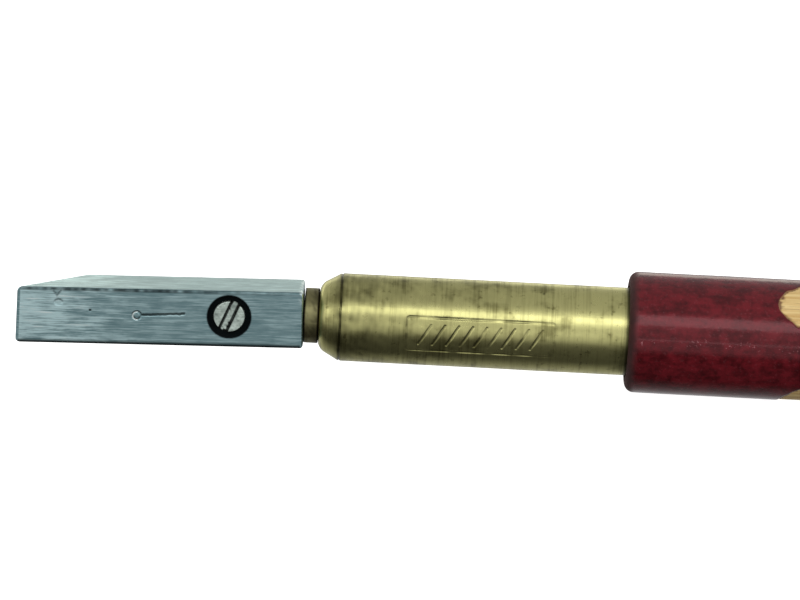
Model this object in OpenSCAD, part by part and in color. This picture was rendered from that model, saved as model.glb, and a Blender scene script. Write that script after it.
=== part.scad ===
// Glazier's diamond: a glass cutter with a square steel head, a brass barrel and a wooden handle.
// The tool lies along X with its head towards -X. The head's marked face looks towards -Y.
// The origin is on the tool's axis, in the middle of the handle's cylindrical grip. Sizes are in mm.

/* [Head] */
// Side of the square head
head_side = 6; // [5.6:0.1:8]
// Length of the head along its longest edge
head_length = 29.9; // [26:0.1:36]
// How far the oblique end runs back along the head
oblique_run = 6.9; // [5:0.1:8]
// Angle between the head and the handle's line, in degrees
head_lean = 1.65; // [0:0.05:2]
// Height of the head's rear end above the handle's line
head_rise = 0.12; // [0:0.01:0.2]

/* [Stone] */
// Distance of the stone from the head's tip, along the head
stone_from_tip = 4.3; // [3.5:0.1:5]
// Diameter of the stud that holds the stone
stud_d = 3.2; // [2.4:0.1:3.4]
// Height of the stud above the oblique face
stud_rise = 0.45; // [0.2:0.05:0.8]
// Depth of the stud's seat
stud_depth = 3.2; // [2:0.1:3.6]
// Width of the stone across its corners
stone_w = 1.3; // [0.8:0.1:1.6]

/* [Clamp screw] */
// Distance of the screw from the head's rear end
screw_from_rear = 7.7; // [6:0.1:9]
// Height of the screw above the handle's line
screw_rise = 0.15; // [0:0.01:0.3]
// Diameter of the slotted screw
screw_d = 3.36; // [3:0.02:3.6]
// Diameter of the counterbore around the screw
counterbore_d = 4.54; // [4.2:0.02:5]
// Depth of the counterbore
counterbore_depth = 0.55; // [0.3:0.05:0.7]
// Width of the screw's slot
slot_w = 1; // [0.6:0.05:1.2]
// Depth of the screw's slot
slot_depth = 0.5; // [0.3:0.05:0.6]
// Turn of the slot from upright, in degrees
slot_turn = 22.5; // [0:0.5:90]

/* [Spindle] */
// Diameter of the spindle's neck, seen between head and barrel
neck_d = 5.77; // [5.2:0.01:5.8]
// Length of the neck
neck_length = 1.35; // [1:0.05:2.5]
// Diameter of the journal that turns in the barrel's nose
journal_d = 4.6; // [4:0.05:4.8]
// Diameter of the spindle's shank inside the head
shank_d = 3; // [2.6:0.1:3.2]
// Diameter of the spindle's threaded end
thread_d = 3.4; // [3:0.1:3.6]
// Swing of the head each way, in degrees
swing = 15; // [8:1:20]

/* [Barrel] */
// Outer diameter of the barrel
barrel_d = 9.2; // [9:0.05:10]
// Length of the barrel in front of the handle, behind its nose
barrel_length = 30.05; // [26:0.05:36]
// Bore of the barrel behind its nose
cavity_d = 7.25; // [7:0.05:7.6]
// Length of barrel held inside the handle
barrel_seat = 8; // [6:0.5:12]
// Radius of the nose's rounded front
nose_round = 1.4; // [1.2:0.1:1.6]
// Slope of the nose's cone, in degrees
nose_cone = 29.5; // [26:0.5:34]

/* [Handle] */
// Diameter of the handle
handle_d = 12.7; // [12:0.05:14]
// Length of the handle's cylindrical grip
grip_length = 64; // [50:1:80]
// Length of the tapered end, with its rounding
taper_length = 44; // [36:1:60]
// Diameter where the rounding of the end begins
end_d = 10.4; // [9:0.1:12]
// Radius of the front edge
front_edge = 1; // [0.6:0.1:1.4]

/* [Hidden] */

smooth = 96;
running = 0.05;
cut = 1;

// Stations along the tool, from the handle's mouth to the head.
mouth_x = -grip_length / 2 - front_edge;
barrel_end_x = mouth_x + barrel_seat;
cylinder_x = mouth_x - barrel_length;

// The nose: an arc from its flat front, running into a cone.
nose_face_r = 2.9;
nose_from = 15.7;
nose_to = 90 - nose_cone;
nose_centre_r = nose_face_r - nose_round * sin(nose_from);
nose_centre_x = nose_round * cos(nose_from);
nose_arc_end_r = nose_centre_r + nose_round * sin(nose_to);
nose_arc_end_x = nose_centre_x - nose_round * cos(nose_to);
edge_step = 0.03;
nose_length = nose_arc_end_x + (barrel_d / 2 - edge_step - nose_arc_end_r) / tan(nose_cone);
nose_x = cylinder_x - nose_length;
nose_bore_length = 5;
groove_w = 0.3;
groove_depth = 0.09;

// The spindle's shoulders.
bearing_gap = 0.12;
seat_gap = 0.14;
neck_rear_x = nose_x - bearing_gap;
neck_front_x = neck_rear_x - neck_length;
head_rear_x = neck_front_x - seat_gap;
shank_length = 12;
spring_h = 0.4;
touch_gap = 0.02;
journal_end_x = nose_x + nose_bore_length + spring_h + 2 * touch_gap;
washer_h = 0.6;
nut_h = 2;
nut_flats = 5.6;
nut_end_x = journal_end_x + washer_h + nut_h;
plug_x = nut_end_x + 0.2;
plug_length = 14;
stop_pin_d = 1;
stop_pin_length = 6.2;
stop_pin_x = plug_x + 0.6 + stop_pin_d / 2;
spindle_end_x = stop_pin_x + 0.9;
fork_depth = spindle_end_x + 0.2 - plug_x;
tang_d = 4;
tang_length = 48;
tang_x = plug_x + 4;

// The clamp screw's stack, measured from the head's middle towards its marked face.
flat_y = 1.1;
pad_h = 0.45;
pad_d = 2.6;
screw_recess = 0.06;
screw_x = head_rear_x - screw_from_rear;
oblique_angle = atan2(head_side, oblique_run);

// Turns a shape about the tool's axis; each point is [radius, station].
module turned(outline) {
    rotate([0, 90, 0])
        rotate_extrude($fn = smooth)
            polygon(outline);
}

// A round bar along the tool's axis, from one station to another.
module bar(d, from_x, to_x) {
    translate([from_x, 0, 0])
        rotate([0, 90, 0])
            cylinder(d = d, h = to_x - from_x, $fn = smooth);
}

// A round bar across the head, between two depths towards its marked face.
module across(d, near, far) {
    translate([screw_x, -near, screw_rise])
        rotate([90, 0, 0])
            cylinder(d = d, h = far - near, $fn = smooth);
}

// Places children in the head's own frame: X along the head from its rear end, leaning on the axis.
module in_head() {
    translate([head_rear_x, 0, head_rise])
        rotate([0, -head_lean, 0])
            children();
}

// Places children at the stone, with +Z square to the oblique face and out of it.
module at_stone() {
    in_head()
        translate([
            stone_from_tip - head_length,
            stone_from_tip * tan(oblique_angle) - head_side / 2,
            0
        ])
            rotate([-90, 0, oblique_angle])
                children();
}

// Two square pyramids, base to base.
module octahedron(w) {
    cylinder(d1 = w, d2 = 0, h = w / 2, $fn = 4);
    rotate([180, 0, 0])
        cylinder(d1 = w, d2 = 0, h = w / 2, $fn = 4);
}

module head_block() {
    half = head_side / 2;
    color("slategray")
        difference() {
            in_head()
                translate([0, 0, -half])
                    linear_extrude(head_side)
                        polygon([
                            [0, -half],
                            [0, half],
                            [oblique_run - head_length, half],
                            [-head_length, -half]
                        ]);
            bar(shank_d + 0.06, head_rear_x - shank_length - 0.5, head_rear_x + cut);
            across(screw_d + 2 * running, flat_y - 0.05, half + cut);
            across(counterbore_d, half - counterbore_depth, half + cut);
            at_stone()
                translate([0, 0, -stud_depth])
                    cylinder(d = stud_d, h = stud_depth + cut, $fn = smooth);
        }
}

module stone_stud() {
    color("peru")
        difference() {
            at_stone()
                translate([0, 0, -stud_depth])
                    rotate_extrude($fn = smooth)
                        polygon([
                            [0, 0],
                            [stud_d / 2, 0],
                            [stud_d / 2, stud_depth + stud_rise * 0.4],
                            [stone_w * 0.55, stud_depth + stud_rise],
                            [0, stud_depth + stud_rise]
                        ]);
            at_stone()
                translate([0, 0, stud_rise - stone_w / 4])
                    octahedron(stone_w);
        }
}

module stone_solder() {
    fillet = 0.4;
    color("lightgray")
        at_stone()
            rotate_extrude($fn = smooth)
                polygon([
                    [stud_d / 2, 0],
                    [stud_d / 2 + fillet, 0],
                    [stud_d / 2, stud_rise * 0.4]
                ]);
}

module diamond() {
    color("azure")
        at_stone()
            translate([0, 0, stud_rise - stone_w / 4])
                octahedron(stone_w);
}

module clamp_screw() {
    top = head_side / 2 - screw_recess;
    color("lightsteelblue")
        difference() {
            across(screw_d, flat_y + touch_gap + pad_h, top);
            translate([screw_x, -top, screw_rise])
                rotate([0, slot_turn, 0])
                    cube([slot_w, 2 * slot_depth, screw_d + cut], center = true);
        }
}

module clamp_pad() {
    color("goldenrod")
        across(pad_d, flat_y + touch_gap, flat_y + touch_gap + pad_h);
}

module spindle() {
    color("darkkhaki")
        difference() {
            union() {
                bar(shank_d, head_rear_x - shank_length, neck_front_x);
                bar(neck_d, neck_front_x, neck_rear_x);
                bar(journal_d, neck_rear_x, journal_end_x);
                bar(thread_d, journal_end_x, spindle_end_x);
            }
            translate([screw_x, -flat_y - cut, 0])
                cube([screw_d + 0.6, 2 * cut, shank_d + cut], center = true);
            translate([stop_pin_x, 0, 0])
                cylinder(d = stop_pin_d, h = thread_d + cut, center = true, $fn = smooth);
        }
}

module thrust_washer() {
    color("gray")
        difference() {
            bar(cavity_d - 0.35, journal_end_x, journal_end_x + washer_h);
            bar(thread_d + 0.05, journal_end_x - cut, journal_end_x + washer_h + cut);
        }
}

module spindle_nut() {
    color("dimgray")
        difference() {
            translate([nut_end_x - nut_h, 0, 0])
                rotate([0, 90, 0])
                    cylinder(d = nut_flats / cos(30), h = nut_h, $fn = 6);
            bar(thread_d, nut_end_x - nut_h - cut, nut_end_x + cut);
        }
}

module stop_pin() {
    color("silver")
        translate([stop_pin_x, 0, 0])
            cylinder(d = stop_pin_d, h = stop_pin_length, center = true, $fn = smooth);
}

module barrel() {
    outer = barrel_d / 2;
    inner = cavity_d / 2;
    bore = journal_d / 2 + running;
    color("darkkhaki")
        turned(concat(
            [[bore, nose_x]],
            [for (a = [nose_from : (nose_to - nose_from) / 8 : nose_to + 0.01])
                [nose_centre_r + nose_round * sin(a), nose_x + nose_centre_x - nose_round * cos(a)]],
            [
                [outer - edge_step, cylinder_x],
                [outer - groove_depth, cylinder_x + groove_w * 0.3],
                [outer - groove_depth, cylinder_x + groove_w * 0.7],
                [outer, cylinder_x + groove_w],
                [outer, barrel_end_x],
                [inner, barrel_end_x],
                [inner, nose_x + nose_bore_length],
                [bore, nose_x + nose_bore_length]
            ]
        ));
}

module spring_washer() {
    from_x = nose_x + nose_bore_length;
    color("gray")
        difference() {
            bar(cavity_d - 0.35, from_x, from_x + spring_h);
            bar(journal_d + 0.3, from_x - cut, from_x + spring_h + cut);
            translate([from_x, 0, cavity_d / 2])
                rotate([30, 0, 0])
                    cube([4 * cut, 0.4, cavity_d], center = true);
        }
}

// The plug closes the barrel; the fork in its front stops the cross pin at each end of the swing.
module barrel_plug() {
    color("darkgoldenrod")
        difference() {
            bar(cavity_d - touch_gap, plug_x, plug_x + plug_length);
            bar(thread_d + 0.4, plug_x - cut, plug_x + fork_depth);
            bar(tang_d, tang_x, plug_x + plug_length + cut);
            translate([plug_x - cut, 0, 0])
                rotate([0, 90, 0])
                    linear_extrude(fork_depth + cut)
                        intersection() {
                            circle(d = stop_pin_length + 0.5, $fn = smooth);
                            for (a = [-swing, 0, swing])
                                rotate([0, 0, a])
                                    square([cavity_d, stop_pin_d + 2 * running], center = true);
                        }
        }
}

module tang() {
    tip = 3;
    color("gray")
        turned([
            [0, tang_x],
            [tang_d / 2, tang_x],
            [tang_d / 2, tang_x + tang_length - tip],
            [tang_d / 4, tang_x + tang_length],
            [0, tang_x + tang_length]
        ]);
}

module handle() {
    outer = handle_d / 2;
    socket = barrel_d / 2 + 0.1;
    mouth_r = socket + 0.15;
    grip_end_x = grip_length / 2;
    end_x = grip_end_x + taper_length;
    round_l = end_d / 2 * 0.8;
    color("firebrick")
        turned(concat(
            [[mouth_r, mouth_x]],
            [for (a = [90 : -15 : 0])
                [outer - front_edge * (1 - cos(a)), mouth_x + front_edge * (1 - sin(a))]],
            [[outer, grip_end_x]],
            [for (a = [0 : 10 : 90]) [end_d / 2 * cos(a), end_x - round_l * (1 - sin(a))]],
            [
                [0, tang_x + tang_length + 0.5],
                [tang_d / 2, tang_x + tang_length],
                [tang_d / 2, barrel_end_x],
                [socket, barrel_end_x],
                [socket, mouth_x + 0.3]
            ]
        ));
}

head_block();
stone_stud();
stone_solder();
diamond();
clamp_screw();
clamp_pad();
spindle();
thrust_washer();
spindle_nut();
stop_pin();
barrel();
spring_washer();
barrel_plug();
tang();
handle();
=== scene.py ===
"""A glazier's diamond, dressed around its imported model.

The tool lies along X: a square steel head that swings on a brass spindle, a turned brass barrel and a
lacquered wooden handle. Each sub-assembly is a class that holds its sizes and builds its own meshes, and
each finish is a frozen dataclass that builds one material. Lengths are in metres; MM turns millimetres
into metres.
"""

import logging
import math
from dataclasses import dataclass
from enum import Enum

import bmesh
import bpy
import numpy as np
from mathutils import Matrix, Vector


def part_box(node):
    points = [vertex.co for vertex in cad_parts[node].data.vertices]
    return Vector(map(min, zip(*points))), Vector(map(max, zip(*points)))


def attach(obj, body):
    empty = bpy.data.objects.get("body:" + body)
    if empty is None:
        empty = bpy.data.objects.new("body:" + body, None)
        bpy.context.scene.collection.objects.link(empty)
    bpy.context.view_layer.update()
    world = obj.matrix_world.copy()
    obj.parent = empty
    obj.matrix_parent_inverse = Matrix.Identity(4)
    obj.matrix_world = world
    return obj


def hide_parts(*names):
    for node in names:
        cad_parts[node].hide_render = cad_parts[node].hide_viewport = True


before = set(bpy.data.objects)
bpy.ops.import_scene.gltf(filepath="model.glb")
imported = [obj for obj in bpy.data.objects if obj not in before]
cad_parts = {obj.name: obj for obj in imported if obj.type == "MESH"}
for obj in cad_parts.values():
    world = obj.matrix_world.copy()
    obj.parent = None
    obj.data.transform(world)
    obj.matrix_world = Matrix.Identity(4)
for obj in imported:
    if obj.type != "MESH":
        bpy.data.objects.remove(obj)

LOG = logging.getLogger("glass_cutter")
MM = 0.001
HANDLE_RADIUS = 6.35 * MM
MERGE_WITHIN = 0.0002 * MM
QUARTER = math.pi / 2
TURN = 2.0 * math.pi

Colour = tuple[float, float, float]
Grain = tuple[float, float, float]
Pair = tuple[float, float]
Point = tuple[float, float, float]
Array = np.ndarray


class Body(Enum):
    """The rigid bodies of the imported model."""

    HANDLE = "handle"
    HEAD = "head"
    SCREW = "screw"


class Slot(Enum):
    """The record's material slots that the new pieces belong to."""

    HEAD = "head_steel"
    SCREW = "screw_steel"
    STUD = "stud_copper"
    SOLDER = "solder"
    STONE = "stone"
    BARREL = "barrel_brass"
    SPINDLE = "spindle_brass"
    HANDLE = "handle_lacquer"


# ---------------------------------------------------------------------------------------------------
# Numbers over a surface
# ---------------------------------------------------------------------------------------------------


def smoothstep(low: float, high: float, value: Array) -> Array:
    """Rises from 0 at low to 1 at high: t squared times (3 - 2t), with t held between 0 and 1.

    Args:
        low: where the rise begins.
        high: where it ends; it may be lower than low, for a fall.
        value: the numbers to map.

    Returns:
        The mapped numbers.
    """
    t = np.clip((value - low) / (high - low), 0.0, 1.0)
    return t * t * (3.0 - 2.0 * t)


def ripple(value: Array, seed: int, longest: float, shortest: float, waves: int = 9) -> Array:
    """Smooth noise along a line: a sum of sines whose wavelengths run from longest to shortest.

    Args:
        value: places along the line, in metres.
        seed: picks the phases.
        longest: the longest wavelength, in metres.
        shortest: the shortest wavelength, in metres.
        waves: how many sines are added.

    Returns:
        Numbers mostly between -1 and 1.
    """
    phases = np.random.default_rng(seed).uniform(0.0, TURN, waves)
    lengths = np.geomspace(longest, shortest, waves)
    angles = TURN * np.asarray(value)[..., None] / lengths + phases
    return np.sin(angles).sum(axis=-1) / math.sqrt(waves)


def mottle(u: Array, v: Array, seed: int, longest: float, shortest: float, waves: int = 14) -> Array:
    """Smooth noise over a plane: a sum of sines that run in turned directions.

    Args:
        u: first coordinate, in metres.
        v: second coordinate, in metres.
        seed: picks the phases and directions.
        longest: the longest wavelength, in metres.
        shortest: the shortest wavelength, in metres.
        waves: how many sines are added.

    Returns:
        Numbers mostly between -1 and 1.
    """
    draw = np.random.default_rng(seed)
    phases = draw.uniform(0.0, TURN, waves)
    turns = draw.uniform(0.0, math.pi, waves)
    lengths = np.geomspace(longest, shortest, waves)
    total = np.zeros(np.broadcast(u, v).shape)
    for phase, turn, length in zip(phases, turns, lengths):
        along = u * math.cos(turn) + v * math.sin(turn)
        total += np.sin(TURN * along / length + phase)
    return total / math.sqrt(waves)


def capsule(u: Array, v: Array, start: Pair, end: Pair) -> Array:
    """Distance of each point of a plane from a straight stroke between two points.

    Args:
        u: first coordinate.
        v: second coordinate.
        start: one end of the stroke.
        end: the other end.

    Returns:
        The distances.
    """
    way = np.subtract(end, start)
    du, dv = u - start[0], v - start[1]
    reach = np.clip((du * way[0] + dv * way[1]) / (way @ way), 0.0, 1.0)
    return np.hypot(du - reach * way[0], dv - reach * way[1])


def box_outline(u: Array, v: Array, half: Pair, corner: float) -> Array:
    """Distance of each point of a plane from the outline of a rounded box centred on 0, 0.

    Args:
        u: first coordinate.
        v: second coordinate.
        half: half of the box's width and height.
        corner: radius of its corners.

    Returns:
        The distances, never negative.
    """
    du = np.abs(u) - half[0] + corner
    dv = np.abs(v) - half[1] + corner
    outside = np.hypot(np.maximum(du, 0.0), np.maximum(dv, 0.0))
    inside = np.minimum(np.maximum(du, dv), 0.0)
    return np.abs(outside + inside - corner)


def spaced(*stretches: tuple[float, float, int]) -> Array:
    """Joins stretches of evenly spaced numbers.

    Args:
        stretches: each is (from, to, count) and leaves out its end, apart from the last one.

    Returns:
        One rising or falling array.
    """
    parts = [np.linspace(low, high, count, endpoint=False) for low, high, count in stretches]
    return np.append(np.concatenate(parts), stretches[-1][1])


# ---------------------------------------------------------------------------------------------------
# Meshes
# ---------------------------------------------------------------------------------------------------


def grid_faces(rows: int, columns: int, around: bool) -> Array:
    """Quads of a grid of points numbered row by row.

    Args:
        rows: number of rows.
        columns: number of points in a row.
        around: whether the last column joins the first.

    Returns:
        An array of four point numbers for each quad.
    """
    wide = columns if around else columns - 1
    row, column = np.meshgrid(np.arange(rows - 1), np.arange(wide), indexing="ij")
    here = row * columns
    after = here + columns
    beside = (column + 1) % columns
    quads = [here + column, here + beside, after + beside, after + column]
    return np.stack(quads, axis=-1).reshape(-1, 4)


def signed(angles: Array) -> Array:
    """Angles from 0 to a full turn, as angles from minus half a turn to half a turn."""
    return np.where(angles > math.pi, angles - TURN, angles)


def make_piece(
    name: str, points: Array, faces: Array, marks: dict[str, Array] | None = None
) -> bpy.types.Object:
    """Makes a closed, smooth-shaded object from points and quads.

    Points that lie on each other are merged, which closes seams and poles, and the faces are then
    turned outwards.

    Args:
        name: the piece's name.
        points: coordinates, in an array whose last axis is x, y, z.
        faces: four point numbers for each quad.
        marks: numbers for each point, by attribute name, which the materials read.

    Returns:
        The object, at the origin.
    """
    mesh = bpy.data.meshes.new(name)
    mesh.from_pydata(points.reshape(-1, 3).tolist(), [], faces.tolist())
    for mark, values in (marks or {}).items():
        layer = mesh.attributes.new(mark, "FLOAT", "POINT")
        layer.data.foreach_set("value", np.ascontiguousarray(values, dtype=np.float32).ravel())
    work = bmesh.new()
    work.from_mesh(mesh)
    bmesh.ops.remove_doubles(work, verts=work.verts, dist=MERGE_WITHIN)
    bmesh.ops.recalc_face_normals(work, faces=work.faces)
    work.to_mesh(mesh)
    work.free()
    mesh.polygons.foreach_set("use_smooth", np.ones(len(mesh.polygons), dtype=bool))
    mesh.update()
    piece = bpy.data.objects.new(name, mesh)
    bpy.context.scene.collection.objects.link(piece)
    return piece


def revolve(stations: Array, radii: Array, angles: Array) -> Array:
    """Turns an outline about the X axis.

    A point is (x, -r cos a, r sin a), so angle 0 faces -Y and angle a quarter turn faces +Z.

    Args:
        stations: places along X, one for each row, or one for each point.
        radii: the radius at each row, or at each point.
        angles: the angles round the axis, in radians.

    Returns:
        The points, as rows by angles by 3.
    """
    count = len(stations)
    x = np.broadcast_to(np.reshape(stations, (count, -1)), (count, len(angles)))
    reach = np.broadcast_to(np.reshape(radii, (count, -1)), x.shape)
    return np.stack([x, -reach * np.cos(angles), reach * np.sin(angles)], axis=-1)


def full_circle(count: int) -> Array:
    """Evenly spaced angles round a full turn, in radians."""
    return np.linspace(0.0, TURN, count, endpoint=False)


def arc(centre: Pair, radius: float, start: float, end: float, count: int) -> Array:
    """Points of an arc in the outline's plane, each (station, radius).

    A point is the centre plus radius times (-cos a, sin a), so angle 0 looks towards the head.

    Args:
        centre: the arc's centre, as (station, radius).
        radius: the arc's radius.
        start: first angle, in degrees.
        end: last angle, in degrees.
        count: number of points.

    Returns:
        An array of (station, radius) rows.
    """
    a = np.radians(np.linspace(start, end, count))
    return np.stack([centre[0] - radius * np.cos(a), centre[1] + radius * np.sin(a)], axis=-1)


def coat(piece: bpy.types.Object, material: bpy.types.Material) -> None:
    """Gives an object one material in place of those it has."""
    piece.data.materials.clear()
    piece.data.materials.append(material)


def dress(
    piece: bpy.types.Object, body: Body, slot: Slot, material: bpy.types.Material, *nodes: str
) -> bpy.types.Object:
    """Gives a piece its material and its body, hides the CAD nodes it stands for, and reports it.

    Args:
        piece: the piece.
        body: the body it rides on.
        slot: the record's slot that it belongs to. Not used.
        material: its material.
        nodes: the CAD nodes it replaces.

    Returns:
        The piece.
    """
    coat(piece, material)
    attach(piece, body.value)
    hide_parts(*nodes)
    count = len(piece.data.polygons)
    LOG.info("%s: %d faces, rides on %s, stands for %s", piece.name, count, body.value, nodes)
    return piece


# ---------------------------------------------------------------------------------------------------
# Shader graphs
# ---------------------------------------------------------------------------------------------------


class Wire:
    """A number in a shader graph, which takes part in Python's arithmetic."""

    def __init__(self, graph: "Graph", socket: bpy.types.NodeSocket) -> None:
        """Wraps a node's output socket."""
        self.graph = graph
        self.socket = socket

    def _math(self, operation: str, first: "Wire | float", second: "Wire | float") -> "Wire":
        """Adds a Math node that works on two numbers."""
        return self.graph.wire("ShaderNodeMath", {0: first, 1: second}, operation=operation)

    def __add__(self, other: "Wire | float") -> "Wire":
        """self + other"""
        return self._math("ADD", self, other)

    __radd__ = __add__

    def __sub__(self, other: "Wire | float") -> "Wire":
        """self - other"""
        return self._math("SUBTRACT", self, other)

    def __rsub__(self, other: float) -> "Wire":
        """other - self"""
        return self._math("SUBTRACT", other, self)

    def __mul__(self, other: "Wire | float") -> "Wire":
        """self * other"""
        return self._math("MULTIPLY", self, other)

    __rmul__ = __mul__

    def __truediv__(self, other: "Wire | float") -> "Wire":
        """self / other"""
        return self._math("DIVIDE", self, other)

    def __rtruediv__(self, other: float) -> "Wire":
        """other / self"""
        return self._math("DIVIDE", other, self)

    def __neg__(self) -> "Wire":
        """minus self"""
        return self._math("MULTIPLY", self, -1.0)

    def mapped(
        self, low: float = 0.0, high: float = 1.0, to_low: float = 0.0, to_high: float = 1.0
    ) -> "Wire":
        """Maps low..high onto to_low..to_high smoothly, and holds it there beyond them.

        Args:
            low: number that becomes to_low.
            high: number that becomes to_high.
            to_low: result at low.
            to_high: result at high.

        Returns:
            The mapped number.
        """
        sockets = {0: self, 1: low, 2: high, 3: to_low, 4: to_high}
        return self.graph.wire("ShaderNodeMapRange", sockets, interpolation_type="SMOOTHSTEP")


class Graph:
    """The node tree of a material or of the room, built with expressions on wires."""

    def __init__(self, owner: bpy.types.Material | bpy.types.World) -> None:
        """Empties the owner's node tree, ready to be built.

        Args:
            owner: the material or the world that the nodes belong to.
        """
        owner.use_nodes = True
        self.tree = owner.node_tree
        self.tree.nodes.clear()

    def node(self, kind: str, sockets: dict | None = None, **settings: object) -> bpy.types.Node:
        """Adds any node: its settings first, then its sockets' values or links.

        Args:
            kind: the node's type.
            sockets: values or wires, by socket name or number.
            settings: the node's properties; stops fills a colour ramp.

        Returns:
            The node.
        """
        made = self.tree.nodes.new(kind)
        stops = settings.pop("stops", ())
        for setting, value in settings.items():
            setattr(made, setting, value)
        for number, (place, value) in enumerate(stops):
            ramp = made.color_ramp.elements
            stop = ramp[number] if number < len(ramp) else ramp.new(place)
            stop.position, stop.color = place, (value, value, value, 1.0)
        for key, value in (sockets or {}).items():
            if isinstance(value, Wire):
                self.tree.links.new(value.socket, made.inputs[key])
            else:
                made.inputs[key].default_value = value
        return made

    def wire(self, kind: str, sockets: dict | None = None, out: int | str = 0, **settings: object) -> Wire:
        """Adds a node as node() does, and gives the output that out names."""
        return Wire(self, self.node(kind, sockets, **settings).outputs[out])

    def place(self, scale: Grain, turn: float = 0.0) -> Wire:
        """The point on the object, in metres, multiplied along each axis.

        Args:
            scale: factors for x, y and z, in units for each metre.
            turn: turn of the pattern about Y, in radians, before it is scaled.

        Returns:
            The scaled point.
        """
        point = self.wire("ShaderNodeTexCoord", out="Object")
        if turn:
            point = self.wire("ShaderNodeMapping", {"Vector": point, "Rotation": (0.0, turn, 0.0)})
        return self.wire("ShaderNodeVectorMath", {0: point, 1: scale}, operation="MULTIPLY")

    def noise(self, scale: Grain, detail: float = 3.0, rough: float = 0.55, turn: float = 0.0) -> Wire:
        """Noise whose grains are 1 / scale metres long on each axis.

        Args:
            scale: grains for each metre along x, y and z.
            detail: how many finer layers it has.
            rough: how strong the finer layers are.
            turn: turn of the grains about Y, in radians.

        Returns:
            The noise, between 0 and 1.
        """
        point = self.place(scale, turn)
        sockets = {"Vector": point, "Scale": 1.0, "Detail": detail, "Roughness": rough}
        return self.wire("ShaderNodeTexNoise", sockets)

    def mark(self, name: str) -> Wire:
        """The number that the mesh holds for each point under that name."""
        return self.wire("ShaderNodeAttribute", out="Fac", attribute_name=name)

    def mix(self, factor: Wire | float, first: Wire | Colour, second: Wire | Colour) -> Wire:
        """Blends two colours: the first where the factor is 0, the second where it is 1."""
        ends = [c if isinstance(c, Wire) else (*c, 1.0) for c in (first, second)]
        return self.wire("ShaderNodeMix", {0: factor, 6: ends[0], 7: ends[1]}, out=2, data_type="RGBA")

    def bump(self, height: Wire, depth: float) -> Wire:
        """Turns a height between 0 and 1 into a normal; depth is the height of 1, in metres."""
        return self.wire("ShaderNodeBump", {"Height": height, "Distance": depth})

    def shader(self, **sockets: object) -> Wire:
        """Adds a Principled shader.

        Args:
            sockets: values or wires, by socket name with underscores for its spaces.

        Returns:
            The shader.
        """
        named = {key.replace("_", " "): value for key, value in sockets.items()}
        for key, value in named.items():
            if isinstance(value, tuple):
                named[key] = (*value, 1.0)
        return self.wire("ShaderNodeBsdfPrincipled", named)

    def metal(self, colour: Wire, roughness: Wire, normal: Wire) -> Wire:
        """Adds a bare metal's shader from its colour, its roughness and its normal."""
        held = roughness.mapped()
        return self.shader(Base_Color=colour, Metallic=1.0, Roughness=held, Normal=normal)

    def blend(self, factor: Wire, first: Wire, second: Wire) -> Wire:
        """Blends two shaders: the first where the factor is 0, the second where it is 1."""
        return self.wire("ShaderNodeMixShader", {0: factor, 1: first, 2: second})


# ---------------------------------------------------------------------------------------------------
# Finishes
# ---------------------------------------------------------------------------------------------------


@dataclass(frozen=True, kw_only=True)
class Finish:
    """What every finish shares: a name, and the way its surface becomes a material.

    A grain is given as its count for each metre along x, y and z.
    """

    name: str

    def surface(self, g: Graph) -> Wire:
        """Adds the finish's own shader to the graph."""
        raise NotImplementedError

    def build(self) -> bpy.types.Material:
        """Builds the material and links its surface.

        Returns:
            The material.
        """
        material = bpy.data.materials.new(self.name)
        g = Graph(material)
        g.node("ShaderNodeOutputMaterial", {"Surface": self.surface(g)})
        return material


@dataclass(frozen=True, kw_only=True)
class BrushedHeadSteel(Finish):
    """Ground square bar, brushed lengthwise, rubbed bright at the tip, and darkened by grime and painted
    shade.

    The oblique end, which the mark cut picks out, is ground across instead.
    """

    name: str = "brushed_head_steel"
    lean: float
    dull: Colour = (0.182, 0.298, 0.322)
    bright: Colour = (0.62, 0.84, 0.86)
    fleck: Colour = (0.86, 0.97, 0.96)
    dirt_and_shade: Colour = (0.010, 0.014, 0.015)
    streaks: Grain = (210.0, 5200.0, 5200.0)
    hairs: Grain = (480.0, 11000.0, 11000.0)
    clouds: Grain = (420.0, 900.0, 900.0)
    grinding: Grain = (260.0, 260.0, 6500.0)
    relief: float = 0.012 * MM

    def surface(self, g: Graph) -> Wire:
        """Adds the shader, which reads the marks wear, cut, burr and the one for grime and painted shade.

        Args:
            g: the material's graph.

        Returns:
            The shader.
        """
        streak = g.noise(self.streaks, detail=5.0, rough=0.62, turn=self.lean)
        hair = g.noise(self.hairs, detail=2.0, turn=self.lean)
        cloud = g.noise(self.clouds)
        ground = g.noise(self.grinding)
        wear, cut, grime_and_shade = g.mark("wear"), g.mark("cut"), g.mark("grime_and_shade")
        brushed = streak.mapped(0.40, 0.62) * 0.52 + hair.mapped(0.38, 0.62) * 0.36
        brushed = brushed + cloud.mapped(0.40, 0.62) * 0.28
        lit = brushed * (1.0 - cut * 0.85) + ground.mapped(0.38, 0.62) * cut * 0.6
        tone = lit * (0.50 + wear * 0.80)
        colour = g.mix(tone.mapped(), self.dull, self.bright)
        flecks = streak.mapped(0.58, 0.70) * wear.mapped(0.0, 0.9) + g.mark("burr")
        colour = g.mix(flecks.mapped(), colour, self.fleck)
        # Grime in the marks, and painted shade in the counterbore and along the long edges, darken the
        # steel towards this near-black.
        colour = g.mix(grime_and_shade, colour, self.dirt_and_shade)
        roughness = 0.30 + streak * 0.16 + grime_and_shade * 0.3
        return g.metal(colour, roughness, g.bump(streak * 0.7 + hair * 0.3, self.relief))


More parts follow.
